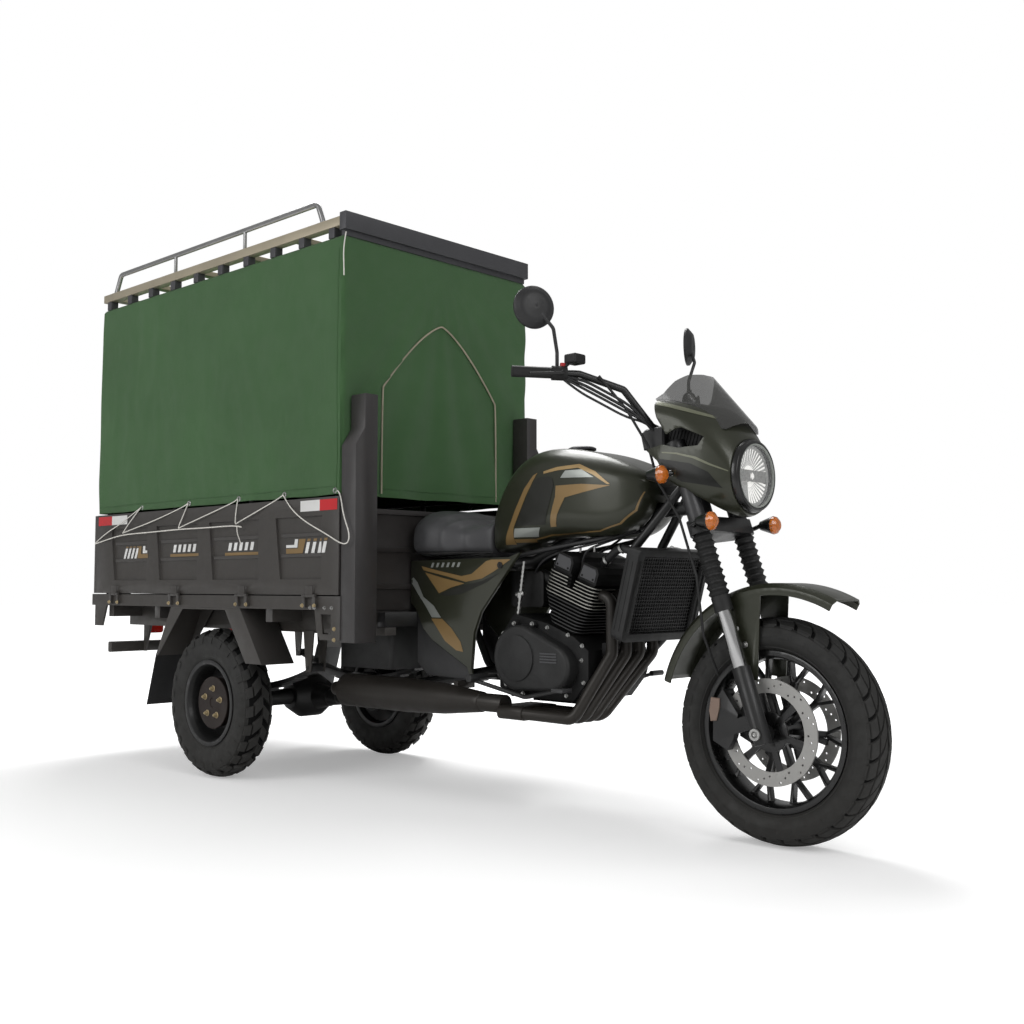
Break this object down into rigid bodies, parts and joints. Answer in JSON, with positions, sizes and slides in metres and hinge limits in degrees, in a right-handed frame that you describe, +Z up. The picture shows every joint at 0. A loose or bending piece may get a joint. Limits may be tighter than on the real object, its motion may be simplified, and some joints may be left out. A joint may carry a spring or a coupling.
{
  "type": "cargo_motor_tricycle",
  "caption": "Cargo motor tricycle: motorcycle front with open engine, drop-side cargo bed on rear wheels, tall tarpaulin canopy with roof rack; steering, wheels and gates move.",
  "frame": {"origin": "on the ground, under the middle of the overall length and width", "axes": "+X forward, +Y to the rider's left, +Z up"},
  "size_m": [3.464, 0.986, 2.11],
  "materials": {
    "frame_black": "satin",
    "olive_paint": "satin",
    "bed_grey": "satin",
    "engine_black": "matte",
    "pipe_black": "satin",
    "fork_chrome": "polished",
    "disc_steel": "brushed",
    "beige_metal": "satin",
    "rack_metal": "satin",
    "black_plastic": "matte",
    "grip_rubber": "matte",
    "tyre_rubber": "matte",
    "seat_cover": "matte",
    "canvas_green": "matte",
    "lamp_glass": "clear",
    "amber_lens": "clear",
    "red_lens": "clear",
    "smoke_screen": "tinted",
    "mirror_black": "gloss",
    "cap_metal": "satin"
  },
  "bodies": {
    "chassis": {"chassis_frame": "frame_black", "crankcase": "engine_black", "cylinders": "engine_black", "air_box": "black_plastic", "engine_covers": "engine_black", "exhaust_headers": "pipe_black", "muffler": "pipe_black", "radiator_core": "engine_black", "radiator_shroud": "black_plastic", "fuel_tank": "olive_paint", "fuel_cap": "cap_metal", "seat": "seat_cover", "side_panels": "olive_paint", "lower_covers": "black_plastic", "foot_controls": "frame_black", "battery_box": "black_plastic", "rear_axle": "frame_black", "leaf_springs": "frame_black", "drive_shaft": "frame_black", "bed_frame": "bed_grey", "bed_floor": "bed_grey", "bed_front_guard": "bed_grey", "canopy_frame": "frame_black", "tarp": "canvas_green", "roof_blocks": "frame_black", "roof_beams": "beige_metal", "roof_rack": "rack_metal", "mudguards": "bed_grey", "mud_flaps": "black_plastic", "rear_bumper": "bed_grey", "tail_lamps": "red_lens"},
    "steering": {"fork_sliders": "frame_black", "fork_tubes": "fork_chrome", "fork_gaiters": "grip_rubber", "yokes": "frame_black", "calipers": "frame_black", "front_fender": "olive_paint", "headlamp_body": "black_plastic", "headlamp_lens": "lamp_glass", "fairing": "olive_paint", "windscreen": "smoke_screen", "instrument_pod": "black_plastic", "indicator_bodies": "black_plastic", "indicator_lenses": "amber_lens", "handlebar": "frame_black", "bar_controls": "grip_rubber", "mirrors": "mirror_black", "brake_hoses": "grip_rubber"},
    "front_wheel": {"front_rim": "frame_black", "front_tyre": "tyre_rubber", "brake_discs": "disc_steel"},
    "rear_wheel_left": {"rear_rim_left": "frame_black", "rear_tyre_left": "tyre_rubber"},
    "rear_wheel_right": {"rear_rim_right": "frame_black", "rear_tyre_right": "tyre_rubber"},
    "side_gate_right": {"side_gate_right": "bed_grey"},
    "side_gate_left": {"side_gate_left": "bed_grey"},
    "tailgate": {"tailgate": "bed_grey"}
  },
  "joints": [
    {"name": "steering_turn", "type": "hinge", "parent": "chassis", "child": "steering", "pos_m": [1.13093, 0, 1.01422], "axis": [-0.3173, 0, 0.9483], "range_deg": [-35, 35]},
    {"name": "front_wheel_spin", "type": "hinge", "parent": "steering", "child": "front_wheel", "pos_m": [1.41, 0, 0.322], "axis": [0, 1, 0], "continuous": true},
    {"name": "rear_wheel_left_spin", "type": "hinge", "parent": "chassis", "child": "rear_wheel_left", "pos_m": [-0.79, 0.42, 0.284], "axis": [0, 1, 0], "continuous": true},
    {"name": "rear_wheel_right_spin", "type": "hinge", "parent": "chassis", "child": "rear_wheel_right", "pos_m": [-0.79, -0.42, 0.284], "axis": [0, 1, 0], "continuous": true},
    {"name": "side_gate_right_hinge", "type": "hinge", "parent": "chassis", "child": "side_gate_right", "pos_m": [-0.79, -0.487, 0.697], "axis": [1, 0, 0], "range_deg": [0, 175]},
    {"name": "side_gate_left_hinge", "type": "hinge", "parent": "chassis", "child": "side_gate_left", "pos_m": [-0.79, 0.487, 0.697], "axis": [-1, 0, 0], "range_deg": [0, 175]},
    {"name": "tailgate_hinge", "type": "hinge", "parent": "chassis", "child": "tailgate", "pos_m": [-1.726, 0, 0.697], "axis": [0, -1, 0], "range_deg": [0, 175]}
  ]
}
